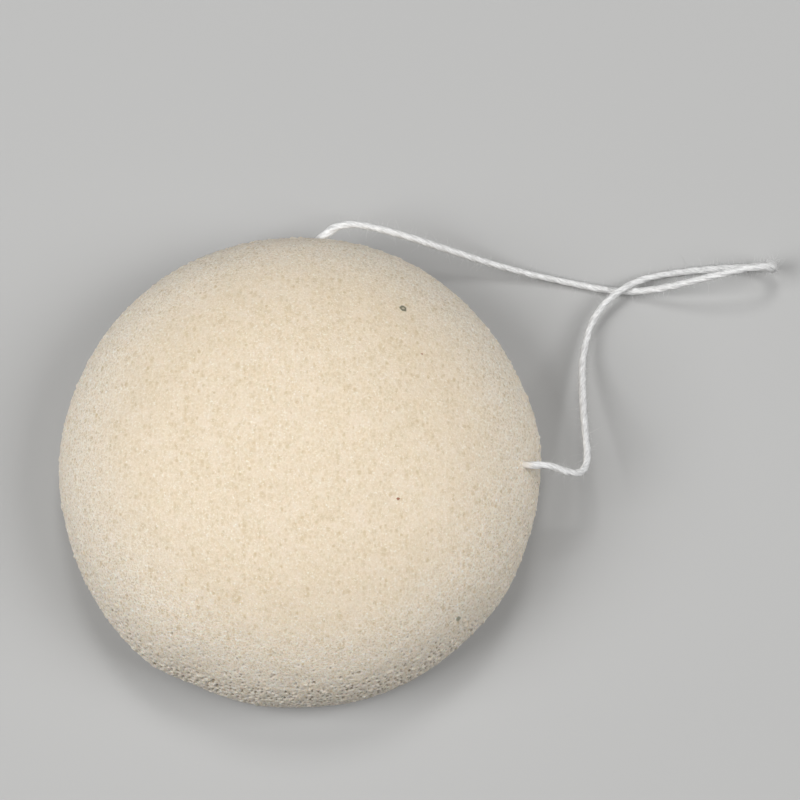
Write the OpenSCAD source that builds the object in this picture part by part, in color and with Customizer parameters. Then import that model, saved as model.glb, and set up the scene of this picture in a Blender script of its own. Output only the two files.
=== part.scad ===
// Half-ball konjac sponge for washing the face, with a twisted cotton hanging string.
// The flat back lies on z = 0, the dome points up, and the string leaves at two places in the flank.

/* [Sponge] */
// Diameter at the widest line
sponge_d = 80; // [70:1:90]
// Height of the dome above the flat back
sponge_h = 32; // [28:1:38]
// Height of the widest line above the flat back
girth_z = 6; // [4:0.5:8]
// How far the flat back's rim stands in from the widest line
foot_inset = 3.5; // [2:0.5:6]

/* [String] */
// Diameter of the twisted cotton string
string_d = 1.1; // [0.9:0.05:1.4]
// Gap between the string and the foam that closes round it
channel_gap = 0.05; // [0.02:0.01:0.1]
// Extra room round the string where it turns inside the foam
turn_room = 0.1; // [0.08:0.01:0.2]
// Radius at which the string turns inside the foam, at its middle
bend_r = 2.7; // [2.2:0.1:3.4]
// Depth at which the needle's straight way meets the way out of each mouth
mouth_depth = 5; // [4.5:0.5:7]
// How far the string stands out of the foam before it swings freely
stub_len = 1.5; // [1.2:0.1:2.5]
// Gap between the standing string and the rounded end of the free loop
swing_gap = 0.1; // [0.05:0.01:0.2]

/* [Back exit] */
// Direction from the middle of the sponge to the exit, in degrees from +X
back_exit_azimuth = 85; // [75:1:95]
// Height of the exit above the flat back
back_exit_z = 10; // [9:0.5:13]
// Direction in which the string leaves, in degrees from +X
back_mouth_azimuth = 42; // [35:1:60]

/* [Side exit] */
// Direction from the middle of the sponge to the exit, in degrees from +X
side_exit_azimuth = -2; // [-8:1:8]
// Height of the exit above the flat back
side_exit_z = 16; // [13:0.5:18]
// Direction in which the string leaves, in degrees from +X
side_mouth_azimuth = 0; // [-15:1:15]
// Slope at which the string leaves, in degrees, falling below zero
side_mouth_slope = -3; // [-15:1:5]

/* [Knot] */
// Gap between the knot and the wall of its pocket in the foam
pocket_gap = 0.3; // [0.1:0.1:0.8]
// Length of the cone that closes each end of the pocket
pocket_cone_len = 2.4; // [1.5:0.1:3.5]

/* [Hidden] */

sponge_colour = [0.92, 0.86, 0.76];
string_colour = [0.90, 0.90, 0.89];

upwards = [0, 0, 1];
girth_r = sponge_d / 2;
foot_r = girth_r - foot_inset;
dome_h = sponge_h - girth_z;
string_r = string_d / 2;
channel_r = string_r + channel_gap;
// How far a hole's cut runs on out of the skin
cut_over = 1;
// First stretch of the free loop, which runs straight on from each pivot
lead_out = 1;
// Overlap of a straight hole with the wider hole of a turn
turn_lap = 0.3;

// Facets: round forms, the dome's and foot's profiles, and the sides and rings of a swept string
round_fn = 96;
channel_fn = 32;
dome_steps = 36;
foot_steps = 8;
string_sides = 8;
path_steps = 2;
knot_steps = 3;
turn_steps = 6;
cap_angles = [75, 50, 25];

// Radius of the sponge's skin at a height on the dome
function skin_r(z) = girth_r * sqrt(1 - pow((z - girth_z) / dome_h, 2));
function unit(v) = v / norm(v);
function on_skin(azimuth, z) = [skin_r(z) * cos(azimuth), skin_r(z) * sin(azimuth), z];
function heading(azimuth, slope) =
    [cos(azimuth) * cos(slope), sin(azimuth) * cos(slope), sin(slope)];

// Where the string passes the skin, and the way that it takes there, outwards
back_exit = on_skin(back_exit_azimuth, back_exit_z);
side_exit = on_skin(side_exit_azimuth, side_exit_z);
back_way = heading(back_mouth_azimuth, 0);
side_way = heading(side_mouth_azimuth, side_mouth_slope);

// The free loop swings about the line through these two points, just outside the skin
back_pivot = back_exit + stub_len * back_way;
side_pivot = side_exit + stub_len * side_way;

// The needle's straight way between the two turns inside the foam
back_corner = back_exit - mouth_depth * back_way;
side_corner = side_exit - mouth_depth * side_way;
needle_way = unit(side_corner - back_corner);
knot_centre = (back_corner + side_corner) / 2;

// Route of the free loop: down to the table, up to the top of a small standing bight, down round it,
// back along the table, over itself, and up to the side exit
loop_route = concat(
    [back_pivot, back_pivot + lead_out * back_way],
    [
        [7.1, 41.8, 10], [9.4, 41.9, 9.8], [12.4, 41.5, 9.2], [16, 40.8, 8.4], [20, 39.8, 7.3],
        [24, 38.9, 5.9], [28, 38, 4.2], [33, 36.8, 2.7], [38, 35.7, 1.6], [44, 34.5, 0.9],
        [50, 33.3, 0.6], [54, 32.7, 0.8], [58.5, 32.5, 1.9], [63.5, 33, 4.3], [68.7, 33.8, 6.6],
        [73.6, 34.7, 7.8], [77.3, 35.2, 7.1], [79, 35.8, 5.2], [78.9, 36.4, 3], [77, 36.9, 1.4],
        [73, 37, 0.6], [66.5, 36.7, 0.6], [61, 35.8, 0.8], [57.6, 34.9, 1.5], [55, 33.5, 2.3],
        [52.9, 32, 2.8], [50.6, 29.9, 2.7], [48.4, 26.6, 2.5], [47.2, 21, 3.1], [46.9, 15, 5.2],
        [47.2, 9, 7.8], [47.5, 4.4, 9.8], [47.8, 0.8, 11.1], [46.8, -2, 12.5], [44.1, -2, 14],
        [41.3, -1.1, 15.4]
    ],
    [side_pivot + lead_out * side_way, side_pivot]
);

// One strand of the square knot, as shares of the string's diameter along the needle's way,
// across it and up: the standing part comes in, the bight goes round, and the tail ends beside it
knot_shares = [
    [-5.4, 0, 0], [-4.6, 0, 0], [-3.6, 0.3, -0.25], [-2.6, 0.6, -0.6], [-1.7, 0.8, -0.9],
    [-0.9, 1.55, -0.8], [-0.1, 2.05, -0.2], [0.8, 2.05, 0.4], [1.7, 1.75, 0.8], [2.5, 1, 0.95],
    [2.8, 0, 1], [2.6, -0.9, 0.95], [2.05, -1.6, 0.85], [1.25, -1.5, 0.75], [0.6, -0.95, 0.5],
    [0, -0.65, 0], [-0.85, -0.6, -0.5], [-1.7, -0.75, -0.85], [-2.6, -0.8, -0.65], [-3.4, -1.1, -0.4],
    [-4.1, -1.5, -0.2]
];
// How far from its middle the knot reaches: its standing parts, its tails, and its widest place
knot_reach = -knot_shares[0].x * string_d;
knot_tail = -knot_shares[len(knot_shares) - 1].x * string_d + string_r;
knot_half_width = max([for (s = knot_shares) norm([s.y, s.z])]) * string_d + string_r;
pocket_r = knot_half_width + pocket_gap;
pocket_half_len = knot_tail + pocket_gap;

// Smooth curve steered by a list of points, which it starts and ends on
function spline_at(a, b, c, d, t) =
    (pow(1 - t, 3) * a + (3 * pow(t, 3) - 6 * t * t + 4) * b
    + (3 * t + 3 * t * t - 3 * pow(t, 3) + 1) * c + pow(t, 3) * d) / 6;
function smooth_path(p, steps) =
    let (last = len(p) - 1, q = concat([2 * p[0] - p[1]], p, [2 * p[last] - p[last - 1]]))
    concat(
        [
            for (i = [0 : last - 1], k = [0 : steps - 1])
                spline_at(q[i], q[i + 1], q[i + 2], q[i + 3], k / steps)
        ],
        [p[last]]
    );

// Direction of a path at each of its points
function path_ways(path) =
    let (last = len(path) - 1)
    [for (i = [0 : last]) unit(path[min(i + 1, last)] - path[max(i - 1, 0)])];
// A side direction at each point that turns with the path and never twists about it
function path_sides(ways, i = 0, side = upwards, sides = []) =
    i == len(ways) ? sides :
    let (next = unit(side - (side * ways[i]) * ways[i]))
    path_sides(ways, i + 1, next, concat(sides, [next]));

// Round tube along a path. A rounded end is half a ball about the path's end point.
module swept_tube(path, r, round_start, round_end) {
    ways = path_ways(path);
    sides = path_sides(ways);
    last = len(path) - 1;
    start_rings = [for (a = cap_angles) if (round_start) [path[0] - r * sin(a) * ways[0], r * cos(a), 0]];
    end_rings = [
        for (k = [1 : len(cap_angles)]) if (round_end)
            let (a = cap_angles[len(cap_angles) - k])
            [path[last] + r * sin(a) * ways[last], r * cos(a), last]
    ];
    rings = concat(start_rings, [for (i = [0 : last]) [path[i], r, i]], end_rings);
    points = [
        for (ring = rings, k = [0 : string_sides - 1])
            let (a = 360 * k / string_sides, side = sides[ring[2]], up = cross(ways[ring[2]], side))
            ring[0] + ring[1] * (cos(a) * side + sin(a) * up)
    ];
    n = string_sides;
    walls = [
        for (i = [0 : len(rings) - 2], k = [0 : n - 1], half = [0, 1])
            let (a = i * n + k, b = i * n + (k + 1) % n)
            half == 0 ? [a, a + n, b] : [b, a + n, b + n]
    ];
    first_cap = [for (k = [1 : n - 2]) [0, k, k + 1]];
    top = (len(rings) - 1) * n;
    last_cap = [for (k = [1 : n - 2]) [top, top + k + 1, top + k]];
    polyhedron(points, concat(walls, first_cap, last_cap));
}

// Moves its children's +Z onto a direction, with their origin at a point
module along(point, way) {
    translate(point)
        rotate([0, acos(way.z), atan2(way.y, way.x)])
            children();
}

// A turn between two straight runs: the way in, the way out, the angle between them, how far
// before the corner it starts, the direction of its middle from there, and its middle
function way_in(start, corner) = unit(corner - start);
function way_out(corner, end) = unit(end - corner);
function turn_angle(start, corner, end) = acos(way_in(start, corner) * way_out(corner, end));
function run_up(start, corner, end) = bend_r * tan(turn_angle(start, corner, end) / 2);
function inward(start, corner, end) =
    let (a = way_in(start, corner), b = way_out(corner, end))
    unit(b - (a * b) * a);
function turn_centre(start, corner, end) =
    corner - run_up(start, corner, end) * way_in(start, corner) + bend_r * inward(start, corner, end);

// Points of the string's middle along a straight run, a turn and a second straight run
function turned_path(start, corner, end) =
    let (
        a = way_in(start, corner),
        side = inward(start, corner, end),
        centre = turn_centre(start, corner, end),
        angle = turn_angle(start, corner, end)
    )
    concat(
        [start],
        [
            for (k = [0 : turn_steps])
                let (now = angle * k / turn_steps)
                centre + bend_r * (sin(now) * a - cos(now) * side)
        ],
        [end]
    );

// Straight hole from a mouth down to where the turn starts
module mouth_hole(start, corner, end) {
    depth = norm(corner - start) - run_up(start, corner, end) + turn_lap;
    along(start, way_in(start, corner))
        cylinder(h = depth, r = channel_r, $fn = channel_fn);
}

// Hole round the turn, with a little more room than the straight ones
module turn_hole(start, corner, end) {
    a = way_in(start, corner);
    side = inward(start, corner, end);
    normal = cross(-side, a);
    centre = turn_centre(start, corner, end);
    multmatrix([
        [-side.x, a.x, normal.x, centre.x],
        [-side.y, a.y, normal.y, centre.y],
        [-side.z, a.z, normal.z, centre.z],
        [0, 0, 0, 1]
    ])
        rotate_extrude(angle = turn_angle(start, corner, end), $fn = round_fn)
            translate([bend_r, 0])
                circle(r = channel_r + turn_room, $fn = channel_fn);
}

// Straight needle hole from turn to turn, which widens round the knot in its middle
module needle_hole(back_mouth, side_mouth) {
    half_way = norm(side_corner - back_corner) / 2;
    back_end = half_way - run_up(back_mouth, back_corner, side_corner) + turn_lap;
    side_end = half_way - run_up(side_mouth, side_corner, back_corner) + turn_lap;
    cone_end = pocket_half_len + pocket_cone_len;
    along(knot_centre, needle_way)
        rotate_extrude($fn = round_fn)
            polygon([
                [0, -back_end], [channel_r, -back_end],
                [channel_r, -cone_end], [pocket_r, -pocket_half_len],
                [pocket_r, pocket_half_len], [channel_r, cone_end],
                [channel_r, side_end], [0, side_end]
            ]);
}

// Dome, rounded lower edge and flat back as one turned form
module sponge_form() {
    dome = [
        for (i = [0 : dome_steps])
            [girth_r * cos(90 * i / dome_steps), girth_z + dome_h * sin(90 * i / dome_steps)]
    ];
    foot = [
        for (i = [0 : foot_steps - 1])
            [foot_r + foot_inset * sin(90 * i / foot_steps), girth_z - girth_z * cos(90 * i / foot_steps)]
    ];
    rotate_extrude($fn = round_fn)
        polygon(concat([[0, 0]], foot, dome));
}

// Moulded foam half-ball, pierced from flank to flank for the string
module sponge_body() {
    back_mouth = back_exit + cut_over * back_way;
    side_mouth = side_exit + cut_over * side_way;
    color(sponge_colour)
        difference() {
            sponge_form();
            mouth_hole(back_mouth, back_corner, side_corner);
            turn_hole(back_mouth, back_corner, side_corner);
            needle_hole(back_mouth, side_mouth);
            turn_hole(side_mouth, side_corner, back_corner);
            mouth_hole(side_mouth, side_corner, back_corner);
        }
}

// Free loop that the sponge hangs by
module string_loop() {
    color(string_colour)
        swept_tube(smooth_path(loop_route, path_steps), string_r, true, true);
}

// The string inside the foam, from each mouth to the knot
module threaded_string() {
    set_back = string_r + swing_gap;
    back_end = back_pivot - set_back * back_way;
    side_end = side_pivot - set_back * side_way;
    back_knot_end = knot_centre - knot_reach * needle_way;
    side_knot_end = knot_centre + knot_reach * needle_way;
    color(string_colour) {
        swept_tube(turned_path(back_end, back_corner, back_knot_end), string_r, false, false);
        swept_tube(turned_path(side_end, side_corner, side_knot_end), string_r, false, false);
    }
}

// Square knot that closes the loop: two bights, one turned half round to face the other
module string_knot() {
    across = unit(cross(upwards, needle_way));
    up = cross(needle_way, across);
    color(string_colour)
        for (half = [1, -1]) {
            strand = [
                for (s = knot_shares)
                    knot_centre + string_d * (half * s.x * needle_way + half * s.y * across + s.z * up)
            ];
            swept_tube(smooth_path(strand, knot_steps), string_r, false, false);
        }
}

sponge_body();
string_loop();
threaded_string();
string_knot();
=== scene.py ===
"""Look of a konjac sponge: a moulded foam half-ball with a twisted cotton hanging string."""

import math

import bpy
import numpy as np
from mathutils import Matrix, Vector, kdtree, noise


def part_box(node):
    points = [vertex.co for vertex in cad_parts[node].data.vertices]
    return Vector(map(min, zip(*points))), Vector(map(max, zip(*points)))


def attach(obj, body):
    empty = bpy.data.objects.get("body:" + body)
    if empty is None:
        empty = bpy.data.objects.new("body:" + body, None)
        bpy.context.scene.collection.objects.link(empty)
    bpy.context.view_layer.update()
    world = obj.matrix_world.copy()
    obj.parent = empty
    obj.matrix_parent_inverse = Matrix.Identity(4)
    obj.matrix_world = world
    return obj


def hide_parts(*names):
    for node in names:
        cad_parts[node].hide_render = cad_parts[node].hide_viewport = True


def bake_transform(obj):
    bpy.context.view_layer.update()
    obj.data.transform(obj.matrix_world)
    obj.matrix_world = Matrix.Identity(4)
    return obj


MM = 0.001

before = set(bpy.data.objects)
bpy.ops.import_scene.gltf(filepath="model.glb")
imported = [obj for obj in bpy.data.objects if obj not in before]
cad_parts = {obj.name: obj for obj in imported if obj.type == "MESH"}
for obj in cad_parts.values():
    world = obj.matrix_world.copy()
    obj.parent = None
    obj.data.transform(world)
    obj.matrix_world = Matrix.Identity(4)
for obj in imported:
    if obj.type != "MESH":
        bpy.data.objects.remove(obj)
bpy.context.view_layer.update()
# One generator for the whole script: each draw depends on the ones before it. The noise vectors
# need a seed too, because without one they change with the clock
SEED = 7
chance = np.random.default_rng(SEED)
noise.seed_set(SEED)


# Camera and light

PHOTO_SIDE_PX = 800
# Where the middle of the sponge's flat back lies in the photograph, and the photograph's scale
ORIGIN_PX = (300, 482)
PX_PER_MM = 6.0
CAMERA_ELEVATION = math.radians(75)
CAMERA_DISTANCE = 1.2
SENSOR_WIDTH = 36.0

# Each lamp's tilt from straight overhead towards +X and +Y, its distance, size and power
KEY_LAMP = {"tilt": (0, 31), "distance": 1.2, "side": 0.3, "power": 2.8}
LEFT_LAMP = {"tilt": (-43, -13), "distance": 1.3, "side": 0.8, "power": 12.0}
RIGHT_LAMP = {"tilt": (44, -8), "distance": 1.3, "side": 0.8, "power": 9.3}
# The sky's fill light, and the grey that the camera and reflections see in its place
SKY_STRENGTH = 0.05
SKY_SEEN = (0.78, 0.78, 0.77, 1)
FLOOR_SIDE = 4.0
# A hair's breadth under the flat back, which would flicker against a floor at its own height
FLOOR_Z = -0.05 * MM
# Colour of the floor as it is seen, and as it throws light back onto the sponge
FLOOR_SEEN = (0.50, 0.50, 0.495, 1)
FLOOR_BOUNCE = (0.2, 0.2, 0.2, 1)
# The Mix node's colour sockets go by number, because its other kinds have sockets of the same names
MIX_A, MIX_B, MIX_RESULT = 6, 7, 2


def add_object(name, data):
    made = bpy.data.objects.new(name, data)
    bpy.context.scene.collection.objects.link(made)
    return made


def add_camera():
    """Long lens at the photograph's angle and scale, aimed so that the sponge lies in its place."""
    middle = PHOTO_SIDE_PX / 2
    right = (middle - ORIGIN_PX[0]) / PX_PER_MM * MM
    up = (ORIGIN_PX[1] - middle) / PX_PER_MM * MM
    image_up = Vector((0, math.sin(CAMERA_ELEVATION), math.cos(CAMERA_ELEVATION)))
    back = Vector((0, -math.cos(CAMERA_ELEVATION), math.sin(CAMERA_ELEVATION)))
    data = bpy.data.cameras.new("photo_camera")
    data.sensor_width = SENSOR_WIDTH
    data.lens = SENSOR_WIDTH * CAMERA_DISTANCE / (PHOTO_SIDE_PX / PX_PER_MM * MM)
    camera = add_object("photo_camera", data)
    camera.location = Vector((right, 0, 0)) + up * image_up + CAMERA_DISTANCE * back
    camera.rotation_euler = (math.pi / 2 - CAMERA_ELEVATION, 0, 0)
    bpy.context.scene.camera = camera


def add_lamp(name, tilt, distance, side, power):
    """Square soft lamp that faces the sponge."""
    data = bpy.data.lights.new(name, "AREA")
    data.shape = "SQUARE"
    data.size = side
    data.energy = power
    lamp = add_object(name, data)
    right, away = (math.tan(math.radians(a)) for a in tilt)
    way = Vector((right, away, 1)).normalized()
    lamp.location = distance * way
    lamp.rotation_euler = way.to_track_quat("Z", "Y").to_euler()


def add_sky():
    """Even white fill light. The camera and reflections see a plain pale grey in its place."""
    world = bpy.data.worlds.new("studio")
    bpy.context.scene.world = world
    world.use_nodes = True
    nodes, links = world.node_tree.nodes, world.node_tree.links
    nodes.clear()
    fill = nodes.new("ShaderNodeBackground")
    fill.inputs["Strength"].default_value = SKY_STRENGTH
    fill.inputs["Color"].default_value = (1, 1, 1, 1)
    seen = nodes.new("ShaderNodeBackground")
    seen.inputs["Color"].default_value = SKY_SEEN
    path = nodes.new("ShaderNodeLightPath")
    mix = nodes.new("ShaderNodeMixShader")
    output = nodes.new("ShaderNodeOutputWorld")
    shown = path.outputs["Is Camera Ray"]
    for ray in ("Is Glossy Ray", "Is Transmission Ray"):
        either = nodes.new("ShaderNodeMath")
        either.operation = "MAXIMUM"
        links.new(shown, either.inputs[0])
        links.new(path.outputs[ray], either.inputs[1])
        shown = either.outputs["Value"]
    links.new(shown, mix.inputs["Fac"])
    links.new(fill.outputs["Background"], mix.inputs[1])
    links.new(seen.outputs["Background"], mix.inputs[2])
    links.new(mix.outputs["Shader"], output.inputs["Surface"])


def add_floor():
    """Pale matte floor, which throws as little light on the sponge as a dark one."""
    half = FLOOR_SIDE / 2
    corners = [(-half, -half), (half, -half), (half, half), (-half, half)]
    data = bpy.data.meshes.new("floor")
    data.from_pydata([(x, y, FLOOR_Z) for x, y in corners], [], [(0, 1, 2, 3)])
    floor = add_object("floor", data)
    material = bpy.data.materials.new("floor_paint")
    material.use_nodes = True
    nodes, links = material.node_tree.nodes, material.node_tree.links
    shader = nodes["Principled BSDF"]
    ray = nodes.new("ShaderNodeLightPath")
    mix = nodes.new("ShaderNodeMix")
    mix.data_type = "RGBA"
    mix.inputs[MIX_A].default_value = FLOOR_SEEN
    mix.inputs[MIX_B].default_value = FLOOR_BOUNCE
    links.new(ray.outputs["Is Diffuse Ray"], mix.inputs["Factor"])
    links.new(mix.outputs[MIX_RESULT], shader.inputs["Base Color"])
    shader.inputs["Roughness"].default_value = 0.85
    shader.inputs["Specular IOR Level"].default_value = 0.2
    data.materials.append(material)


bpy.context.scene.view_settings.view_transform = "Standard"
add_camera()
add_lamp("key", **KEY_LAMP)
add_lamp("left_softbox", **LEFT_LAMP)
add_lamp("right_softbox", **RIGHT_LAMP)
add_sky()
add_floor()


# Sizes of the sponge, as in its CAD solid: the radius and height of its widest place, and the
# rounded foot below that

sponge_low, sponge_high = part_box("sponge_body")
GIRTH_R = (sponge_high.x - sponge_low.x) / 2
SPONGE_H = sponge_high.z
GIRTH_Z = 6 * MM
FOOT_INSET = 3.5 * MM
FOOT_R = GIRTH_R - FOOT_INSET
DOME_H = SPONGE_H - GIRTH_Z

# The string, and its way through the sponge, as in the CAD solids

STRING_D = 1.1 * MM
STRING_R = STRING_D / 2
# Its turns inside the foam, and how deep under the skin their corners lie
BEND_R = 2.7 * MM
MOUTH_DEPTH = 5 * MM
# How far outside the skin the loop's pivots lie, and how far it goes straight on from them
STUB_LEN = 1.5 * MM
LEAD_OUT = 1 * MM
# Where the string leaves the skin, and which way it points there, in degrees
BACK_EXIT = {"azimuth": 85, "z": 10 * MM, "mouth_azimuth": 42, "slope": 0}
SIDE_EXIT = {"azimuth": -2, "z": 16 * MM, "mouth_azimuth": 0, "slope": -3}

# Route of the free loop between its two pivots, in mm: down to the table, up to the top of a small
# standing bight, down round it, back along the table, over itself, and up to the side exit
LOOP_ROUTE_MM = [
    (7.1, 41.8, 10), (9.4, 41.9, 9.8), (12.4, 41.5, 9.2), (16, 40.8, 8.4), (20, 39.8, 7.3),
    (24, 38.9, 5.9), (28, 38, 4.2), (33, 36.8, 2.7), (38, 35.7, 1.6), (44, 34.5, 0.9),
    (50, 33.3, 0.6), (54, 32.7, 0.8), (58.5, 32.5, 1.9), (63.5, 33, 4.3), (68.7, 33.8, 6.6),
    (73.6, 34.7, 7.8), (77.3, 35.2, 7.1), (79, 35.8, 5.2), (78.9, 36.4, 3), (77, 36.9, 1.4),
    (73, 37, 0.6), (66.5, 36.7, 0.6), (61, 35.8, 0.8), (57.6, 34.9, 1.5), (55, 33.5, 2.3),
    (52.9, 32, 2.8), (50.6, 29.9, 2.7), (48.4, 26.6, 2.5), (47.2, 21, 3.1), (46.9, 15, 5.2),
    (47.2, 9, 7.8), (47.5, 4.4, 9.8), (47.8, 0.8, 11.1), (46.8, -2, 12.5), (44.1, -2, 14),
    (41.3, -1.1, 15.4),
]
# One strand of the square knot, as shares of the string's diameter along the needle's way,
# across it and up
KNOT_SHARES = [
    (-5.4, 0, 0), (-4.6, 0, 0), (-3.6, 0.3, -0.25), (-2.6, 0.6, -0.6), (-1.7, 0.8, -0.9),
    (-0.9, 1.55, -0.8), (-0.1, 2.05, -0.2), (0.8, 2.05, 0.4), (1.7, 1.75, 0.8), (2.5, 1, 0.95),
    (2.8, 0, 1), (2.6, -0.9, 0.95), (2.05, -1.6, 0.85), (1.25, -1.5, 0.75), (0.6, -0.95, 0.5),
    (0, -0.65, 0), (-0.85, -0.6, -0.5), (-1.7, -0.75, -0.85), (-2.6, -0.8, -0.65),
    (-3.4, -1.1, -0.4), (-4.1, -1.5, -0.2),
]


def unit(v):
    return v / np.linalg.norm(v)


def skin_radius(z):
    """Radius of the smooth dome at a height."""
    return GIRTH_R * math.sqrt(1 - ((z - GIRTH_Z) / DOME_H) ** 2)


def exit_point(place):
    azimuth = math.radians(place["azimuth"])
    r = skin_radius(place["z"])
    return np.array([r * math.cos(azimuth), r * math.sin(azimuth), place["z"]])


def exit_way(place):
    azimuth, slope = math.radians(place["mouth_azimuth"]), math.radians(place["slope"])
    across = math.cos(slope)
    return np.array([math.cos(azimuth) * across, math.sin(azimuth) * across, math.sin(slope)])


back_exit, side_exit = exit_point(BACK_EXIT), exit_point(SIDE_EXIT)
back_way, side_way = exit_way(BACK_EXIT), exit_way(SIDE_EXIT)
back_pivot = back_exit + STUB_LEN * back_way
side_pivot = side_exit + STUB_LEN * side_way
back_corner = back_exit - MOUTH_DEPTH * back_way
side_corner = side_exit - MOUTH_DEPTH * side_way
needle_way = unit(side_corner - back_corner)
knot_centre = (back_corner + side_corner) / 2


# Paths

# Steps between two points of a route, and in a round turn
PATH_STEPS = 24


def smooth_path(points):
    """Cubic B-spline curve that a list of points steers, and that starts and ends on them."""
    p = np.array(points, float)
    q = np.vstack([2 * p[0] - p[1], p, 2 * p[-1] - p[-2]])
    t = (np.arange(PATH_STEPS) / PATH_STEPS)[:, None]
    first, second = (1 - t) ** 3, 3 * t**3 - 6 * t**2 + 4
    third, fourth = 3 * t + 3 * t**2 - 3 * t**3 + 1, t**3
    runs = [
        (first * a + second * b + third * c + fourth * d) / 6
        for a, b, c, d in zip(q, q[1:], q[2:], q[3:])
    ]
    return np.vstack([*runs, p[-1:]])


def turned_path(start, corner, end):
    """Straight run, round turn and straight run, as the string goes inside the foam."""
    a, b = unit(corner - start), unit(end - corner)
    side = unit(b - (a @ b) * a)
    angle = math.acos(a @ b)
    centre = corner - BEND_R * math.tan(angle / 2) * a + BEND_R * side
    now = np.linspace(0, angle, PATH_STEPS)[:, None]
    turn = centre + BEND_R * (np.sin(now) * a - np.cos(now) * side)
    return np.vstack([start, turn, end])


def path_lengths(path):
    """Length along a path up to each of its points."""
    steps = np.linalg.norm(np.diff(path, axis=0), axis=1)
    return np.concatenate([[0], np.cumsum(steps)])


def resampled(path, step):
    """The same path with points a steady step apart."""
    along = path_lengths(path)
    wanted = np.linspace(0, along[-1], round(along[-1] / step) + 1)
    return np.stack([np.interp(wanted, along, path[:, k]) for k in range(3)], axis=1)


def carried_frames(path):
    """Way, side and third direction at each point; the side never twists about the path."""
    ways = np.gradient(path, axis=0)
    ways /= np.linalg.norm(ways, axis=1)[:, None]
    sides = np.empty_like(ways)
    side = np.array([0, 0, 1.0])
    for i, way in enumerate(ways):
        side = unit(side - (side @ way) * way)
        sides[i] = side
    return ways, sides, np.cross(ways, sides)


# Twisted cotton string

STRING_STEP = 0.12 * MM
RING_POINTS = 40
PLIES = 4
# Length over which the plies turn once round the string
LAY_LENGTH = 11 * MM
# As shares of its radius: the plies' crests, the depth of the grooves between them, the fibre
# ridges and the uneven thickness
CREST_SHARE = 1.06
GROOVE_SHARE = 0.19
FIBRE_SHARE = 0.04
THICKNESS_SHARE = 0.05
THICKNESS_WAVE = 5 * MM
# How far the string strays from its route, and the length of a stray
WANDER = 0.05 * MM
WANDER_WAVE = 7 * MM
# Half the length of a fibre ridge, in steps
RIDGE_STEPS = 4
# How far the random values may go, of a spread of one
THICKNESS_LIMITS, WANDER_LIMITS, RIDGE_LIMITS = (-2, 1), (-1.5, 1.5), (-2, 1.5)
# Where the string is looser it swells, by a share of its width and over a length each way: at the
# back exit and at the loop's worn tip
BACK_SWELL = (0.32, 5 * MM)
TIP_SWELL = (0.75, 3 * MM)


def blurred(values, radius):
    """Random values smoothed along the string and brought back to a spread of about one."""
    offsets = np.arange(-3 * radius, 3 * radius + 1)
    weights = np.exp(-0.5 * (offsets / radius) ** 2)
    weights /= np.sqrt((weights**2).sum())
    pad = [(3 * radius, 3 * radius)] + [(0, 0)] * (values.ndim - 1)
    padded = np.pad(values, pad, mode="reflect")
    return np.apply_along_axis(lambda line: np.convolve(line, weights, "valid"), 0, padded)


def string_surface(path, swells=()):
    """Rings of points round a path: lobes for the plies that turn about it, and fibre ridges."""
    count = len(path)
    ways, sides, thirds = carried_frames(path)
    along = path_lengths(path)
    wave = round(THICKNESS_WAVE / STRING_STEP / 2)
    thickness = blurred(chance.normal(size=count), wave).clip(*THICKNESS_LIMITS)
    thickness = 1 + THICKNESS_SHARE * thickness
    for place, share, length in swells:
        thickness += share * np.exp(-(((along - place) / length) ** 2))
    sway = round(WANDER_WAVE / STRING_STEP / 2)
    wander = WANDER * blurred(chance.normal(size=(count, 2)), sway).clip(*WANDER_LIMITS)
    lobe = np.arange(RING_POINTS) * 2 * math.pi / RING_POINTS
    groove = CREST_SHARE - GROOVE_SHARE * (1 - np.abs(np.cos(PLIES * lobe / 2)))
    ridges = blurred(chance.normal(size=(count, RING_POINTS)), RIDGE_STEPS)
    ridges = FIBRE_SHARE * ridges.clip(*RIDGE_LIMITS)
    radius = STRING_R * (groove + ridges) * thickness[:, None]
    turn = lobe + (2 * math.pi * along / LAY_LENGTH)[:, None]
    middle = path + wander[:, :1] * sides + wander[:, 1:] * thirds
    outward = np.cos(turn)[..., None] * sides[:, None] + np.sin(turn)[..., None] * thirds[:, None]
    return middle[:, None] + radius[..., None] * outward, outward


def tube_mesh(name, rings, along):
    """Closed tube over rings of points, with a map that runs along and round it in metres."""
    count, sides = rings.shape[:2]
    index = np.arange(count * sides).reshape(count, sides)
    beside = np.roll(index, -1, axis=1)
    quads = np.stack([index[:-1], beside[:-1], beside[1:], index[1:]], axis=-1).reshape(-1, 4)
    caps = [list(reversed(index[0].tolist())), index[-1].tolist()]
    data = bpy.data.meshes.new(name)
    data.from_pydata(rings.reshape(-1, 3).tolist(), [], quads.tolist() + caps)
    smooth = np.ones(len(data.polygons), bool)
    smooth[-len(caps):] = False
    data.polygons.foreach_set("use_smooth", smooth)
    layer = data.uv_layers.new(name="yarn")
    round_it = np.arange(sides + 1) * math.pi * STRING_D / sides
    v = np.stack([round_it[:-1], round_it[1:], round_it[1:], round_it[:-1]], axis=-1)
    u = np.stack([along[:-1], along[:-1], along[1:], along[1:]], axis=-1)
    uv = np.zeros((len(data.loops), 2), np.float32)
    walls = len(quads) * 4
    uv[:walls, 0] = np.repeat(u[:, None], sides, axis=1).reshape(-1)
    uv[:walls, 1] = np.tile(v.reshape(-1), count - 1)
    layer.data.foreach_set("uv", uv.reshape(-1))
    data.validate()
    return data


# Fuzz: loose cotton fibres that stand off the string

HAIR_R = 0.017 * MM
HAIR_STEPS = 4
HAIR_SIDES = 3
HAIRS_PER_MM = 20
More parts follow.
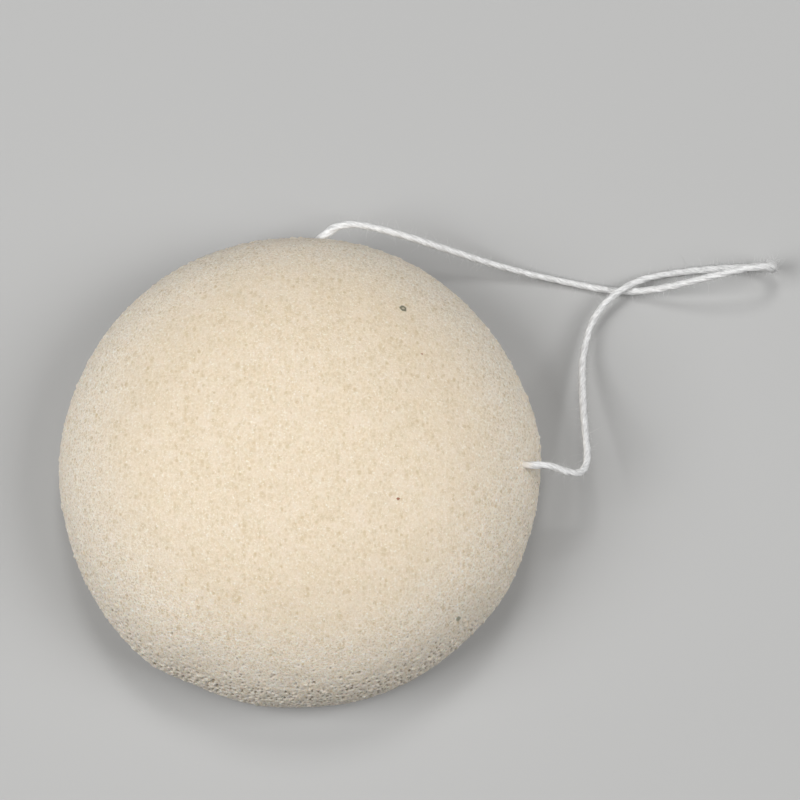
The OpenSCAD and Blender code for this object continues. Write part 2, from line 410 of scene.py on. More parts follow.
# How far a fibre leans along the string and to its side, how much it curls over its length, and the
# share of its thickness that it loses to its end
HAIR_LEAN, HAIR_ASIDE, HAIR_CURL, HAIR_TAPER = 0.9, 0.5, 0.8, 0.6
# Fibre lengths follow a gamma distribution with this shape and scale, in mm, between these ends
HAIR_LENGTH_SHAPE, HAIR_LENGTH_SCALE = 2.0, 0.27
HAIR_SHORTEST, HAIR_LONGEST = 0.15, 2.2
# Each starts a little inside the yarn, and stays this far above the table
HAIR_ROOT = 0.03 * MM
HAIR_LOWEST = 0.02 * MM
# The worn tip of the loop has this many more fibres, over this length
TIP_HAIRS = 320
TIP_LENGTH = 5 * MM


def unit_rows(v):
    return v / np.maximum(np.linalg.norm(v, axis=1), 1e-12)[:, None]


def hair_mesh(roots, outs, ways, lengths):
    """Thin bent fibres, joined into one list of points and faces."""
    count = len(roots)
    lean = chance.normal(size=(count, 1)) * HAIR_LEAN
    aside = chance.normal(size=(count, 1)) * HAIR_ASIDE
    start = unit_rows(outs + lean * ways + aside * np.cross(outs, ways))
    curl = chance.normal(size=(count, 3))
    curl = HAIR_CURL * unit_rows(curl - (curl * start).sum(1)[:, None] * start)
    # The small share of the way keeps the product off zero
    side = unit_rows(np.cross(start, curl + 0.01 * ways))
    third = np.cross(side, start)
    share = np.linspace(0, 1, HAIR_STEPS + 1)[None, :, None]
    reach = lengths[:, None, None] * share
    line = roots[:, None] + reach * (start[:, None] + share * curl[:, None])
    turn = np.arange(HAIR_SIDES) * 2 * math.pi / HAIR_SIDES
    ring = np.cos(turn)[:, None] * side[:, None] + np.sin(turn)[:, None] * third[:, None]
    taper = HAIR_R * (1 - HAIR_TAPER * share)
    points = line[:, :, None] + taper[:, :, None] * ring[:, None]
    index = np.arange(points[..., 0].size).reshape(count, HAIR_STEPS + 1, HAIR_SIDES)
    beside = np.roll(index, -1, axis=2)
    quads = np.stack([index[:, :-1], beside[:, :-1], beside[:, 1:], index[:, 1:]], axis=-1)
    feet = index[:, 0, ::-1]
    tips = index[:, -1]
    return points.reshape(-1, 3), quads.reshape(-1, 4).tolist() + feet.tolist() + tips.tolist()


# Node helpers

class Shading:
    """Small wrapper that adds nodes to a material and links them in one call."""

    def __init__(self, name):
        self.material = bpy.data.materials.new(name)
        self.material.use_nodes = True
        self.nodes = self.material.node_tree.nodes
        self.links = self.material.node_tree.links
        self.shader = self.nodes["Principled BSDF"]

    def set(self, socket, value):
        """Links an output to a socket, or sets the socket's own value."""
        if isinstance(value, bpy.types.NodeSocket):
            self.links.new(value, socket)
        else:
            socket.default_value = value

    def add(self, kind, inputs=None, output=0, **settings):
        node = self.nodes.new(kind)
        for key, value in settings.items():
            setattr(node, key, value)
        for key, value in (inputs or {}).items():
            self.set(node.inputs[key], value)
        return node.outputs[output]

    def math(self, operation, a, b=0.0):
        return self.add("ShaderNodeMath", {0: a, 1: b}, operation=operation)

    def noise(self, vector, size, detail=2.0, roughness=0.5):
        inputs = {"Vector": vector, "Scale": 1 / size, "Detail": detail, "Roughness": roughness}
        return self.add("ShaderNodeTexNoise", inputs)

    def cells(self, vector, size):
        """Distance to the nearest cell's middle, in cell sizes, and that cell's random number."""
        node = self.nodes.new("ShaderNodeTexVoronoi")
        self.set(node.inputs["Vector"], vector)
        node.inputs["Scale"].default_value = 1 / size
        luck = self.add("ShaderNodeSeparateColor", {"Color": node.outputs["Color"]})
        return node.outputs["Distance"], luck

    def cell_edges(self, vector, size):
        """Distance to the nearest edge between two cells, in cell sizes."""
        inputs = {"Vector": vector, "Scale": 1 / size}
        return self.add("ShaderNodeTexVoronoi", inputs, feature="DISTANCE_TO_EDGE")

    def shifted(self, vector, size, reach):
        """Places pushed about by smooth noise, so that what is drawn there gets uneven edges."""
        push = self.add("ShaderNodeTexNoise", {"Vector": vector, "Scale": 1 / size}, output="Color")
        push = self.add("ShaderNodeVectorMath", {0: push, 1: (0.5, 0.5, 0.5)}, operation="SUBTRACT")
        scale = (reach, reach, reach)
        return self.add(
            "ShaderNodeVectorMath", {0: push, 1: scale, 2: vector}, operation="MULTIPLY_ADD"
        )

    def distance(self, vector, point):
        inputs = {0: vector, 1: tuple(float(v) for v in point)}
        return self.add("ShaderNodeVectorMath", inputs, output="Value", operation="DISTANCE")

    def span(self, value, low, high, to_low=0.0, to_high=1.0):
        """Maps low..high to to_low..to_high smoothly, and holds the ends."""
        ends = {"From Min": low, "From Max": high, "To Min": to_low, "To Max": to_high}
        return self.add(
            "ShaderNodeMapRange", {"Value": value, **ends}, interpolation_type="SMOOTHSTEP"
        )

    def mix(self, factor, a, b):
        """Colour a turning into colour b."""
        node = self.nodes.new("ShaderNodeMix")
        node.data_type = "RGBA"
        self.set(node.inputs["Factor"], factor)
        self.set(node.inputs[MIX_A], a)
        self.set(node.inputs[MIX_B], b)
        return node.outputs[MIX_RESULT]

    def bump(self, height, strength, depth, below=None):
        """Bumps of a depth, on top of the bumps below them."""
        inputs = {"Height": height, "Strength": strength, "Distance": depth}
        if below is not None:
            inputs["Normal"] = below
        return self.add("ShaderNodeBump", inputs)

    def surface(self, inputs):
        for key, value in inputs.items():
            self.set(self.shader.inputs[key], value)


# Tones of the yarn: painted shade between its fibres and painted highlight on them, in duller
# patches, and under thin foam
YARN_GROOVE_SHADE, YARN_CREST_HIGHLIGHT = (0.66, 0.66, 0.655, 1), (1.0, 1.0, 0.995, 1)
YARN_DULL, YARN_COVERED = (0.78, 0.775, 0.76, 1), (0.76, 0.69, 0.60, 1)
# Width of a fibre streak, that width as a share of its length, and the size of a duller patch
FIBRE_WIDTH, FIBRE_STRETCH, DULL_SIZE = 0.13 * MM, 0.12, 2.5 * MM
FIBRE_DEPTH = 0.04 * MM
# Distances from the side exit between which the foam comes to cover the string
COVER_FROM, COVER_TO = 2.2 * MM, 0.4 * MM


def cotton_material():
    """White cotton yarn: fibre streaks with painted shade and highlight, duller in places, dim
    where foam covers it.
    """
    s = Shading("cotton_string")
    uv = s.add("ShaderNodeUVMap", uv_map="yarn")
    stretched = s.add("ShaderNodeMapping", {"Vector": uv, "Scale": (FIBRE_STRETCH, 1, 1)})
    fibres = s.noise(stretched, FIBRE_WIDTH, detail=3, roughness=0.65)
    place = s.add("ShaderNodeTexCoord", output="Object")
    patches = s.noise(place, DULL_SIZE, detail=1)
    # Painted shade in the grooves between fibres and painted highlight on their crests, from the
    # noise that also makes their bumps
    tone = s.mix(s.span(fibres, 0.36, 0.64), YARN_GROOVE_SHADE, YARN_CREST_HIGHLIGHT)
    tone = s.mix(s.span(patches, 0.35, 0.7, 0, 0.15), tone, YARN_DULL)
    covered = s.span(s.distance(place, side_exit), COVER_FROM, COVER_TO, 0, 0.85)
    tone = s.mix(covered, tone, YARN_COVERED)
    s.surface({
        "Base Color": tone, "Roughness": 0.9, "Normal": s.bump(fibres, 0.5, FIBRE_DEPTH),
        "Specular IOR Level": 0.25, "Sheen Weight": 0.15, "Sheen Roughness": 0.5,
    })
    return s.material


COTTON = cotton_material()


def string_piece(name, rings, along, body=None):
    data = tube_mesh(name, rings, along)
    data.materials.append(COTTON)
    piece = add_object(name, data)
    if body:
        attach(piece, body)
    return piece


# The cord lies first: one continuous string, cut where its parts ride on different bodies

# How far the knot's strands reach from its middle
KNOT_REACH = -KNOT_SHARES[0][0] * STRING_D
# Length of a mouth piece each way from its pivot, the part that lies between the bodies
MOUTH_HALF = 2.5 * MM

loop_route = [
    back_pivot,
    back_pivot + LEAD_OUT * back_way,
    *(np.array(p) * MM for p in LOOP_ROUTE_MM),
    side_pivot + LEAD_OUT * side_way,
    side_pivot,
]
loop_path = smooth_path(loop_route)
loop_length = path_lengths(loop_path)[-1]
back_run = turned_path(knot_centre - KNOT_REACH * needle_way, back_corner, back_pivot)
side_run = turned_path(side_pivot, side_corner, knot_centre + KNOT_REACH * needle_way)
whole_path = resampled(np.vstack([back_run[:-1], loop_path, side_run[1:]]), STRING_STEP)
whole_along = path_lengths(whole_path)
back_pivot_at = path_lengths(back_run)[-1]
side_pivot_at = back_pivot_at + loop_length
tip_at = whole_along[whole_path[:, 0].argmax()]
whole_swells = [(back_pivot_at, *BACK_SWELL), (tip_at, *TIP_SWELL)]
whole_rings, whole_outward = string_surface(whole_path, whole_swells)


def section(start, end):
    """Slice of the whole string between two lengths along it."""
    return slice(np.searchsorted(whole_along, start), np.searchsorted(whole_along, end) + 1)


def string_section(name, start, end, body=None):
    part = section(start, end)
    return string_piece(name, whole_rings[part], whole_along[part], body)


def section_path(start, end):
    return whole_path[section(start, end)]


# Lengths along the string at which it is cut into its five pieces
cuts = [
    0,
    back_pivot_at - MOUTH_HALF,
    back_pivot_at + MOUTH_HALF,
    side_pivot_at - MOUTH_HALF,
    side_pivot_at + MOUTH_HALF,
    whole_along[-1],
]
back_inner = string_section("back_inner_string", cuts[0], cuts[1], "sponge")
back_mouth = string_section("back_mouth_string", cuts[1], cuts[2])
loop_string = string_section("loop_string", cuts[2], cuts[3], "loop")
side_mouth = string_section("side_mouth_string", cuts[3], cuts[4])
side_inner = string_section("side_inner_string", cuts[4], cuts[5], "sponge")
for mouth, pivot, way in ((back_mouth, back_pivot, back_way), (side_mouth, side_pivot, side_way)):
    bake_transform(mouth)
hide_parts("threaded_string")
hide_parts("threaded_string")
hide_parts("string_loop")


def add_knot():
    """Square knot inside the foam: two bights, one turned half round to face the other."""
    across = unit(np.cross([0, 0, 1], needle_way))
    up = np.cross(needle_way, across)
    for name, half in (("knot_back_strand", 1), ("knot_side_strand", -1)):
        strand = [
            knot_centre + STRING_D * (half * a * needle_way + half * b * across + c * up)
            for a, b, c in KNOT_SHARES
        ]
        path = resampled(smooth_path(strand), STRING_STEP)
        rings, _ = string_surface(path)
        piece = string_piece(name, rings, path_lengths(path), "sponge")
        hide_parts("string_knot")
        yield piece


knot = list(add_knot())


def add_fuzz():
    """Loose fibres along the free loop."""
    part = section(cuts[2], cuts[3])
    rings, outward = whole_rings[part], whole_outward[part]
    ways = unit_rows(np.gradient(whole_path[part], axis=0))
    places = chance.uniform(cuts[2], cuts[3], round(HAIRS_PER_MM * (cuts[3] - cuts[2]) / MM))
    places = np.concatenate([places, chance.normal(tip_at, TIP_LENGTH / 2, TIP_HAIRS)])
    i = ((places - cuts[2]) / STRING_STEP).astype(int).clip(0, len(rings) - 1)
    k = chance.integers(0, RING_POINTS, len(i))
    lengths = chance.gamma(HAIR_LENGTH_SHAPE, HAIR_LENGTH_SCALE, len(i))
    lengths = MM * lengths.clip(HAIR_SHORTEST, HAIR_LONGEST)
    outs = outward[i, k]
    points, faces = hair_mesh(rings[i, k] - HAIR_ROOT * outs, outs, ways[i], lengths)
    points[:, 2] = np.maximum(points[:, 2], HAIR_LOWEST)
    data = bpy.data.meshes.new("string_fuzz")
    data.from_pydata(points.tolist(), [], faces)
    data.polygons.foreach_set("use_smooth", np.ones(len(data.polygons), bool))
    data.materials.append(COTTON)
    piece = add_object("string_fuzz", data)
    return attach(piece, "loop")


fuzz = add_fuzz()
section_path(cuts[2], cuts[3])


# Foam half-ball

# Heights on the lower flank, the upper flank and the top of the dome, and the size of the skin's
# mesh there and on the back
SKIN_HEIGHTS = [11 * MM, 17 * MM, 24 * MM]
SKIN_STEPS = [0.21 * MM, 0.30 * MM, 0.44 * MM]
BACK_STEP = 0.46 * MM
# The distance between two rows, as a share of the distance between two points of a row
ROW_SHARE = 0.87
# Where the outward way's z is lower than this, the skin is the flat back
BACK_WAY_Z = -0.97

# Outline of this sponge against a true circle: direction in degrees from +X, and mm outwards
OUTLINE_LUMPS = [
    (0, -0.1), (7, 0.3), (24, -0.3), (40, -0.3), (62, 0), (90, -0.1), (120, 0.1), (144, 0),
    (156, -0.2), (180, -0.1), (192, -0.4), (210, -0.1), (224, 0.3), (234, 0.6), (243, -0.4),
    (258, -0.2), (272, -0.5), (291, -0.3), (315, -0.6), (327, -0.2), (342, -0.5),
]
# Heights between which these lumps fade away, upwards
LUMP_FADE_Z = (8 * MM, 28 * MM)


def dense_profile():
    """Radius, height and outward way down the sponge's side, from the top to the back's middle.

    The samples lie far closer together than any rows of points that are read off them.
    """
    fall = np.linspace(math.pi / 2, 0, 400)
    dome = np.stack([
        GIRTH_R * np.cos(fall), GIRTH_Z + DOME_H * np.sin(fall),
        DOME_H * np.cos(fall), GIRTH_R * np.sin(fall),
    ], axis=1)
    under = np.linspace(0, math.pi / 2, 120)[1:]
    foot = np.stack([
        FOOT_R + FOOT_INSET * np.cos(under), GIRTH_Z - GIRTH_Z * np.sin(under),
        GIRTH_Z * np.cos(under), -FOOT_INSET * np.sin(under),
    ], axis=1)
    inward = np.linspace(FOOT_R, 0, 300)[1:]
    back = np.stack([inward, 0 * inward, 0 * inward, 0 * inward - 1], axis=1)
    rows = np.vstack([dome, foot, back])
    rows[:, 2:] /= np.linalg.norm(rows[:, 2:], axis=1)[:, None]
    return rows


def skin_step(z, on_back):
    return BACK_STEP if on_back else np.interp(z, SKIN_HEIGHTS, SKIN_STEPS)


def skin_rows(step_at, row_share=ROW_SHARE):
    """Radius, height, outward way and number of points of each ring, at a step set by height."""
    rows = dense_profile()
    along = path_lengths(rows[:, :2])
    made, at = [], 0.0
    while at < along[-1]:
        r, z, out_r, out_z = (np.interp(at, along, rows[:, k]) for k in range(4))
        step = step_at(z, out_z < BACK_WAY_Z)
        made.append((r, z, out_r, out_z, max(1, round(2 * math.pi * r / step))))
        at += row_share * step
    made.append((0, 0, 0, -1, 1))
    return made


def zipped_faces(rows):
    """Triangles between rings of different counts, wound so that they face outwards."""
    counts = [row[4] for row in rows]
    starts = np.concatenate([[0], np.cumsum(counts)])
    faces = []
    for k in range(len(rows) - 1):
        n, m = counts[k], counts[k + 1]
        i, j = np.arange(n), np.arange(m)
        below = -(-((2 * i + 1) * m - n) // (2 * n))
        above = ((2 * j + 1) * n + m) // (2 * m)
        a, b = starts[k], starts[k + 1]
        if n > 1:
            faces.append(np.stack([a + i, b + below % m, a + (i + 1) % n], axis=1))
        if m > 1:
            faces.append(np.stack([b + j, b + (j + 1) % m, a + above % n], axis=1))
    return np.vstack(faces)


def skin_points(rows, shake):
    """Points of the rings and their outward ways, each pushed a little along the skin."""
    points, outs = [], []
    for r, z, out_r, out_z, count in rows:
        jitter = chance.uniform(-shake, shake, (count, 2)) if count > 1 else np.zeros((1, 2))
        angle = (np.arange(count) + jitter[:, 0]) * 2 * math.pi / count
        down = jitter[:, 1] * 2 * math.pi * r / count * ROW_SHARE
        cos, sin = np.cos(angle), np.sin(angle)
        ring_r = r + down * out_z
        points.append(np.stack([ring_r * cos, ring_r * sin, z - down * out_r], axis=1))
        outs.append(np.stack([out_r * cos, out_r * sin, np.full(count, out_z)], axis=1))
    return np.vstack(points), np.vstack(outs)


def eased(values, low, high):
    """Smooth rise from 0 at low to 1 at high, held at both ends."""
    t = np.clip((values - low) / (high - low), 0, 1)
    return t * t * (3 - 2 * t)


def outline_offset(points):
    """How far outside a true circle the sponge's lumpy outline lies at each point."""
    direction = np.degrees(np.arctan2(points[:, 1], points[:, 0])) % 360
    places, pushes = np.transpose(OUTLINE_LUMPS)
    # Read off every 2 degrees, and smoothed over the nearest few of these
    fine = np.arange(0, 360, 2.0)
    line = np.interp(fine, places, pushes, period=360)
    kernel = np.hanning(7)
    kernel /= kernel.sum()
    line = np.convolve(np.concatenate([line[-3:], line, line[:3]]), kernel, "valid")
    fade = 1 - eased(points[:, 2], *LUMP_FADE_Z)
    return MM * fade * np.interp(direction, fine, line, period=360)


def noise_at(points, size):
    """Smooth random value at each point, with bumps about as wide as size."""
    return np.array([noise.noise(p) for p in points / size])


def noise_shift(points, size):
    """Smooth random shift of each point, up to about one each way."""
    return np.array([noise.noise_vector(p) for p in points / size])


# Cells of the foam: their spacing on the dome and flank, and on the back
CELL, BACK_CELL = 0.88 * MM, 1.4 * MM
CELL_ROW_SHARE = 1.25
# How far each cell lies from its place in an even pattern, as a share of the spacing, and the same
# for the points of the skin's mesh
CELL_SHAKE, SKIN_SHAKE = 0.45, 0.22
# Pores are taller than they are wide: a height counts for this share of a width in them
TALL_SHARE = 0.6
# The skin opens into pores from one height down to the other. An exponent over 1 leaves fewer
# open between the two heights
CLOSED_Z, OPEN_Z = 16 * MM, 3 * MM
OPEN_POWER = 1.3
# At the front, where more than this share of the way out from the axis points to -Y, the pores
# reach up to this much higher
FRONT_FROM, FRONT_RISE = 0.4, 5 * MM
# Smallest and largest pore, the width of a pore's rounded edge, and the share of it outside
PORE_R = (0.16 * MM, 0.33 * MM)
PORE_EDGE, EDGE_OUTSIDE = 0.12 * MM, 0.3
# How much painted shade the palest and the darkest pores get, and their depth as a share of their
# radius
PORE_SHADE = (0.4, 0.9)
PORE_DEPTH_SHARE = 1.1
# Exponents of chance: over 1 makes deeply shaded pores rarer, and under 1 makes small ones rarer
PORE_SHADE_POWER, SIZE_POWER = 1.5, 0.7
# Closed cells are dimples: their radius, their depth on the top and low on the flank, and the
# heights between which one depth turns into the other
DIMPLE_R = 0.42 * MM
DIMPLE_DEPTH = (0.03 * MM, 0.10 * MM)
DIMPLE_Z = (8 * MM, 22 * MM)
# The cells under this height are the back's, and this share of them is open
BACK_Z, BACK_OPEN_SHARE = 0.1 * MM, 0.45
# Smooth noise that makes the cells uneven: how far it moves their edges, and how wide its bumps are
CELL_WARP = (0.22 * MM, 0.7 * MM)
# Round pits in the rim: direction in degrees, height and radius, and their depth in radii
RIM_PITS = [(-10.3, 7 * MM, 0.55 * MM), (4.5, 8 * MM, 0.45 * MM), (190, 7 * MM, 0.4 * MM)]
RIM_PIT_DEPTH = 1.6


def skin_place(direction, z):
    """Point of the smooth dome in a direction, in degrees, at a height."""
    angle = math.radians(direction)
    return np.array([skin_radius(z) * math.cos(angle), skin_radius(z) * math.sin(angle), z])


def cell_step(z, on_back):
    return BACK_CELL if on_back else CELL


def between(ends, share):
    return ends[0] + (ends[1] - ends[0]) * share


def above_front(points):
    """Heights as they count for the pores, which reach higher up at the front."""
    from_axis = np.maximum(np.hypot(points[:, 0], points[:, 1]), MM)
    return points[:, 2] - FRONT_RISE * eased(-points[:, 1] / from_axis, FRONT_FROM, 1)


def foam_cells(points):
    """Depth of the foam's cells at each point, the painted shade of the pore it is in, and the
    pore's own rim.
    """
    seeds, _ = skin_points(skin_rows(cell_step, CELL_ROW_SHARE), CELL_SHAKE)
    count = len(seeds)
    open_share = 1 - eased(above_front(seeds), OPEN_Z, CLOSED_Z)
    open_share[seeds[:, 2] < BACK_Z] = BACK_OPEN_SHARE
    is_open = chance.random(count) < open_share**OPEN_POWER
    pore_shade = between(PORE_SHADE, chance.random(count) ** PORE_SHADE_POWER)
    size = between(PORE_R, open_share * chance.random(count) ** SIZE_POWER)
    radius = np.where(is_open, size, DIMPLE_R)
    dimple = between(DIMPLE_DEPTH, 1 - eased(seeds[:, 2], *DIMPLE_Z))
    depth = np.where(is_open, PORE_DEPTH_SHARE * size, dimple * chance.random(count))

    pit_r = np.array([r for _, _, r in RIM_PITS])
    seeds = np.vstack([seeds, *(skin_place(direction, z) for direction, z, _ in RIM_PITS)])
    radius = np.concatenate([radius, pit_r])
    depth = np.concatenate([depth, RIM_PIT_DEPTH * pit_r])
    is_open = np.concatenate([is_open, np.ones(len(pit_r), bool)])
    # Open pores carry painted shade, the rim pits the most, closed dimples none
    pore_shade = is_open * np.concatenate([pore_shade, np.ones(len(pit_r))])

    squeeze = np.array([1, 1, TALL_SHARE])
    tree = kdtree.KDTree(len(seeds))
    for i, seed in enumerate(seeds * squeeze):
        tree.insert(seed, i)
    tree.balance()
    reach, width = CELL_WARP
    warped = (points + reach * noise_shift(points, width)) * squeeze
    _, nearest, away = zip(*(tree.find(p) for p in warped))
    nearest, away = np.array(nearest), np.array(away)
    in_pore = eased(radius[nearest] - away, -EDGE_OUTSIDE * PORE_EDGE, PORE_EDGE)
    in_dimple = eased(radius[nearest] - away, 0, DIMPLE_R)
    inside = np.where(is_open[nearest], in_pore, in_dimple)
    rim = np.exp(-(((away - radius[nearest]) / PORE_EDGE) ** 2))
    return depth[nearest] * inside, inside * pore_shade[nearest], rim * is_open[nearest]


# Lip of foam that the string lifts where it leaves the flank: its radius and rise, and how far
# inside the exit it fades away
LIP_R, LIP_RISE, LIP_FADE = 0.9 * MM, 0.4 * MM, 3 * MM
# Height and width of each layer of noise: lumps and dents of the upper sponge, and the grain of its
# skin, with a finer one low down
SWELLS = [(0.2 * MM, 15 * MM), (0.08 * MM, 5 * MM)]
GRAIN = (0.045 * MM, 1.3 * MM)
LOW_GRAIN = (0.05 * MM, 0.6 * MM)
# Sparse little bumps that make the outline rough: only the noise above a level stands out
TEETH = (0.42 * MM, 0.8 * MM)
TEETH_FROM = 0.22
# Heights over which the swells set in, the low grain fades, and the teeth set in and fade
SWELLS_RISE, LOW_GRAIN_FADE = (8 * MM, 16 * MM), (9 * MM, 18 * MM)
TEETH_RISE, TEETH_FADE = (2 * MM, 6 * MM), (11 * MM, 19 * MM)


def sponge_mesh():
    """The skin as a closed mesh, with the painted shade of the pore each point is in, and how much
    of a pore's rim it is.
    """
    rows = skin_rows(skin_step)
    faces = zipped_faces(rows)
    points, outs = skin_points(rows, SKIN_SHAKE)
    z = points[:, 2]
    lumps = outline_offset(points) * np.hypot(outs[:, 0], outs[:, 1])
    # Each layer reads the noise at a place of its own
    swell = sum(height * noise_at(points + 0.1, width) for height, width in SWELLS)
    swell *= eased(z, *SWELLS_RISE)
    grain = GRAIN[0] * noise_at(points + 0.3, GRAIN[1])
    low_grain = LOW_GRAIN[0] * noise_at(points + 0.5, LOW_GRAIN[1])
    grain += low_grain * (1 - eased(z, *LOW_GRAIN_FADE))
    teeth = TEETH[0] * np.maximum(0, noise_at(points + 0.7, TEETH[1]) - TEETH_FROM)
    grain += teeth * eased(z, *TEETH_RISE) * (1 - eased(z, *TEETH_FADE))
    reach = points - side_exit
    ahead = reach @ side_way
    beside = np.linalg.norm(reach - ahead[:, None] * side_way, axis=1)
    lip = LIP_RISE * np.exp(-((beside / LIP_R) ** 2)) * eased(ahead, -LIP_FADE, 0)
    depth, pore, rim = foam_cells(points)
    # Nothing stands out of the flat back
    on_back = outs[:, 2] < BACK_WAY_Z
    grain[on_back] = np.minimum(0, grain[on_back])
    push = lumps + swell + grain + lip - depth
    points = points + push[:, None] * outs
    points[:, 2] = np.maximum(points[:, 2], 0)
    data = bpy.data.meshes.new("foam_sponge")
    data.from_pydata(points.tolist(), [], faces.tolist())
    data.polygons.foreach_set("use_smooth", np.ones(len(data.polygons), bool))
    for name, values in (("pore", pore), ("pore_rim", rim)):
        attribute = data.attributes.new(name, "FLOAT", "POINT")
        attribute.data.foreach_set("value", values.astype(np.float32))
    return data


# Marks of this sponge: direction in degrees, height, radius, colour, strength, and whether it is
# paler in its middle
MARKS = [
    (53.6, 23.9 * MM, 0.75 * MM, (0.15, 0.15, 0.10, 1), 0.95, True),
    (36.4, 26.2 * MM, 0.25 * MM, (0.45, 0.22, 0.14, 1), 0.8, False),
    (-31.7, 28.75 * MM, 0.36 * MM, (0.34, 0.14, 0.08, 1), 1.0, False),
    (-45.6, 14.3 * MM, 0.6 * MM, (0.27, 0.28, 0.20, 1), 0.8, False),
]

# Heights between which the look of the top turns into that of the flank, and that into the rim's
FLANK_FROM, FLANK_TO = 28 * MM, 15 * MM
RIM_FROM, RIM_TO = 16 * MM, 2 * MM
# The pattern's scale along each axis: its shapes are shorter across than the other ways
PATTERN_SCALE = (1, 0.75, 0.75)
# Sizes of the grain, the paler patches, the cells between frosty walls, the cells that hold the
# painted shade of a pit, the frost, and the cells that hold a painted glint
GRAIN_SIZE, PATCH_SIZE, WALL_CELL = 0.45 * MM, 3.5 * MM, 0.72 * MM
PIT_CELL, FROST_SIZE, GLINT_CELL = 0.62 * MM, 0.32 * MM, 0.9 * MM
# Size and reach of the noise that makes the edges of cells, pits, glints and marks uneven
CELL_PUSH, PIT_PUSH = (0.6 * MM, 0.5 * MM), (0.5 * MM, 0.35 * MM)
GLINT_PUSH, MARK_PUSH = (0.5 * MM, 0.4 * MM), (0.45 * MM, 0.5 * MM)
# Depths of the frost and grain as bumps, and how far light spreads under the skin
FROST_DEPTH, GRAIN_DEPTH, LIGHT_SPREAD = 0.13 * MM, 0.1 * MM, 0.5 * MM
# Tones of the dense skin: fine grain from dark to pale, paler patches, and the flank
GRAIN_DARK, GRAIN_PALE = (0.745, 0.62, 0.44, 1), (0.83, 0.705, 0.54, 1)
PATCH_TONE, FLANK_TONE = (0.85, 0.73, 0.58, 1), (0.905, 0.80, 0.655, 1)
# Tan cells under the skin: size of the cells, and how strong the strongest of them is
TAN_CELLS = [(1.4 * MM, 0.62), (0.85 * MM, 0.9)]
TAN_TONE = (0.66, 0.53, 0.34, 1)
# Pale cell walls, and the painted shade of pits that have no depth in the mesh
WALL_TONE, PIT_SHADE_TONE = (1.0, 0.945, 0.84, 1), (0.27, 0.19, 0.105, 1)
# Frosty web of the flank: painted shade in its hollows and painted highlight on its crests, and
# painted glints on the cell walls
HOLLOW_SHADE_TONE, CREST_HIGHLIGHT_TONE = (0.52, 0.44, 0.33, 1), (1.0, 0.96, 0.87, 1)
GLINT_HIGHLIGHT_TONE = (1.0, 0.98, 0.90, 1)
# The rim of the sponge, darker and greyer partly as painted shade, and the edges of its open pores
# and the painted shade inside them
RIM_GREY_AND_SHADE_TONE = (0.83, 0.745, 0.62, 1)
PORE_EDGE_TONE, PORE_SHADE_TONE = (1.0, 0.94, 0.84, 1), (0.20, 0.12, 0.035, 1)


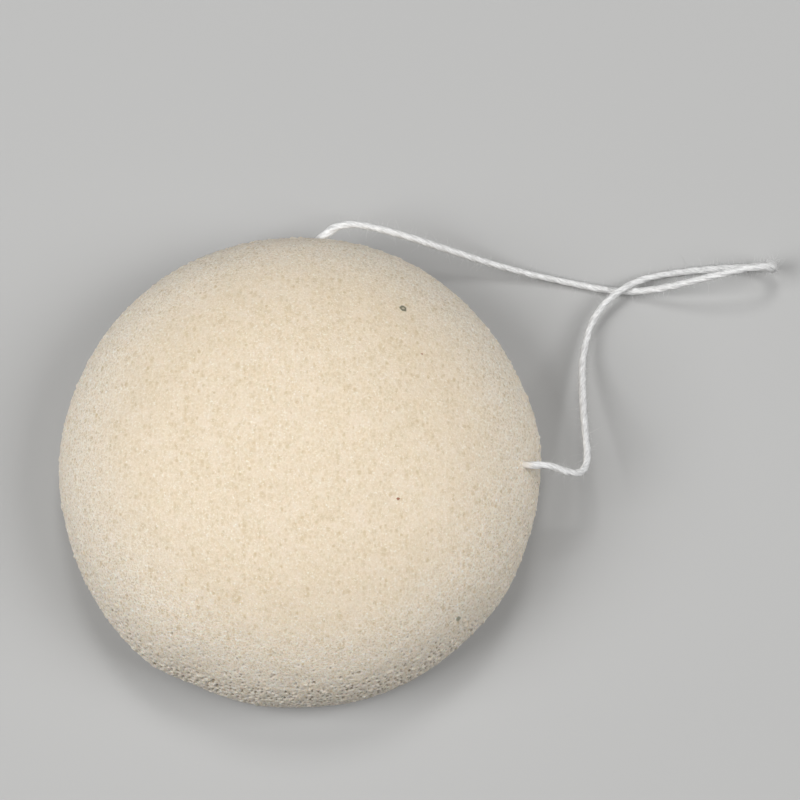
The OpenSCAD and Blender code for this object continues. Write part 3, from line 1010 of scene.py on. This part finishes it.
def foam_material():
    """Cream konjac foam: soft tan cells on top, a frosty web of cell walls lower down, and pits."""
    s = Shading("konjac_foam")
    place = s.add("ShaderNodeTexCoord", output="Object")
    height = s.add("ShaderNodeSeparateXYZ", {"Vector": place}, output="Z")
    tall = s.add("ShaderNodeMapping", {"Vector": place, "Scale": PATTERN_SCALE})
    uneven = s.shifted(tall, *CELL_PUSH)
    flank = s.span(height, FLANK_FROM, FLANK_TO)
    low = s.span(height, RIM_FROM, RIM_TO)

    def towards_flank(on_top, on_flank):
        """Strength that turns from its value on the top into its value on the flank."""
        return s.span(flank, 0, 1, on_top, on_flank)

    # Skin
    grain = s.noise(tall, GRAIN_SIZE, detail=2, roughness=0.6)
    patches = s.noise(place, PATCH_SIZE, detail=3, roughness=0.6)
    tone = s.mix(s.span(grain, 0.32, 0.68), GRAIN_DARK, GRAIN_PALE)
    tone = s.mix(s.span(patches, 0.42, 0.66, 0, 0.5), tone, PATCH_TONE)
    tone = s.mix(s.math("MULTIPLY", flank, 0.75), tone, FLANK_TONE)
    for size, strongest in TAN_CELLS:
        away, luck = s.cells(uneven, size)
        cell = s.math("MULTIPLY", s.span(away, 0.5, 0.12), s.span(luck, 0.25, 1, 0, strongest))
        tone = s.mix(cell, tone, TAN_TONE)

    # Cell walls, and the painted shade of pits, stronger lower down
    wall = s.span(s.cell_edges(uneven, WALL_CELL), 0.12, 0.03)
    tone = s.mix(s.math("MULTIPLY", wall, towards_flank(0.15, 0.6)), tone, WALL_TONE)
    away, luck = s.cells(s.shifted(tall, *PIT_PUSH), PIT_CELL)
    pit_shade = s.math("MULTIPLY", s.span(away, 0.42, 0.2), s.span(luck, 0.5, 0.95))
    strength = s.math("ADD", s.math("MULTIPLY", flank, 0.15), s.math("MULTIPLY", low, 0.85))
    tone = s.mix(s.math("MULTIPLY", pit_shade, strength), tone, PIT_SHADE_TONE)

    # Frost with painted shade and highlight, and painted glints
    frost = s.noise(place, FROST_SIZE, detail=2, roughness=0.7)
    # Painted shade in the frost's hollows and painted highlight on its crests, from the noise that
    # also makes its bumps
    hollow_shade = s.math("MULTIPLY", towards_flank(0.15, 0.8), s.span(frost, 0.45, 0.32))
    tone = s.mix(hollow_shade, tone, HOLLOW_SHADE_TONE)
    crest_highlight = s.math("MULTIPLY", towards_flank(0.6, 1), s.span(frost, 0.60, 0.67))
    tone = s.mix(crest_highlight, tone, CREST_HIGHLIGHT_TONE)
    # Painted glints: near-white specks on the cell walls
    away, luck = s.cells(s.shifted(place, *GLINT_PUSH), GLINT_CELL)
    painted_glint = s.math("MULTIPLY", s.span(away, 0.26, 0.12), s.span(luck, 0.35, 0.9))
    tone = s.mix(s.math("MULTIPLY", painted_glint, towards_flank(0.3, 1)), tone, GLINT_HIGHLIGHT_TONE)

    # Rim, darker and greyer low down, partly as painted shade, and open pores with painted shade
    # inside, which follow the mesh
    # Darker and greyer towards the bottom: partly the greyer open foam there, partly painted shade
    tone = s.mix(s.math("MULTIPLY", low, 0.35), tone, RIM_GREY_AND_SHADE_TONE)
    edge = s.add("ShaderNodeAttribute", output="Fac", attribute_name="pore_rim")
    tone = s.mix(s.math("MULTIPLY", edge, 0.8), tone, PORE_EDGE_TONE)
    # Painted shade inside the open pores
    pore = s.add("ShaderNodeAttribute", output="Fac", attribute_name="pore")
    tone = s.mix(pore, tone, PORE_SHADE_TONE)

    # Marks, with uneven edges
    blot = s.shifted(place, *MARK_PUSH)
    for direction, z, radius, colour, strength, is_ring in MARKS:
        centre = skin_place(direction, z)
        centre[:2] += outline_offset(centre[None])[0] * unit(centre[:2])
        away = s.distance(blot, centre)
        inside = s.span(away, radius, 0.6 * radius, 0, strength)
        if is_ring:
            inside = s.math("MULTIPLY", inside, s.span(away, 0.1 * radius, 0.5 * radius, 0.4, 1))
        tone = s.mix(inside, tone, colour)

    bump = s.bump(frost, towards_flank(0.45, 0.95), FROST_DEPTH)
    s.surface({
        "Base Color": tone, "Roughness": 0.5, "Specular IOR Level": 0.25,
        "Normal": s.bump(grain, 0.3, GRAIN_DEPTH, below=bump),
        "Subsurface Weight": 0.2, "Subsurface Radius": (1.0, 0.7, 0.45),
        "Subsurface Scale": LIGHT_SPREAD,
    })
    return s.material


sponge_data = sponge_mesh()
sponge_data.materials.append(foam_material())
sponge = add_object("foam_sponge", sponge_data)
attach(sponge, "sponge")
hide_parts("sponge_body")
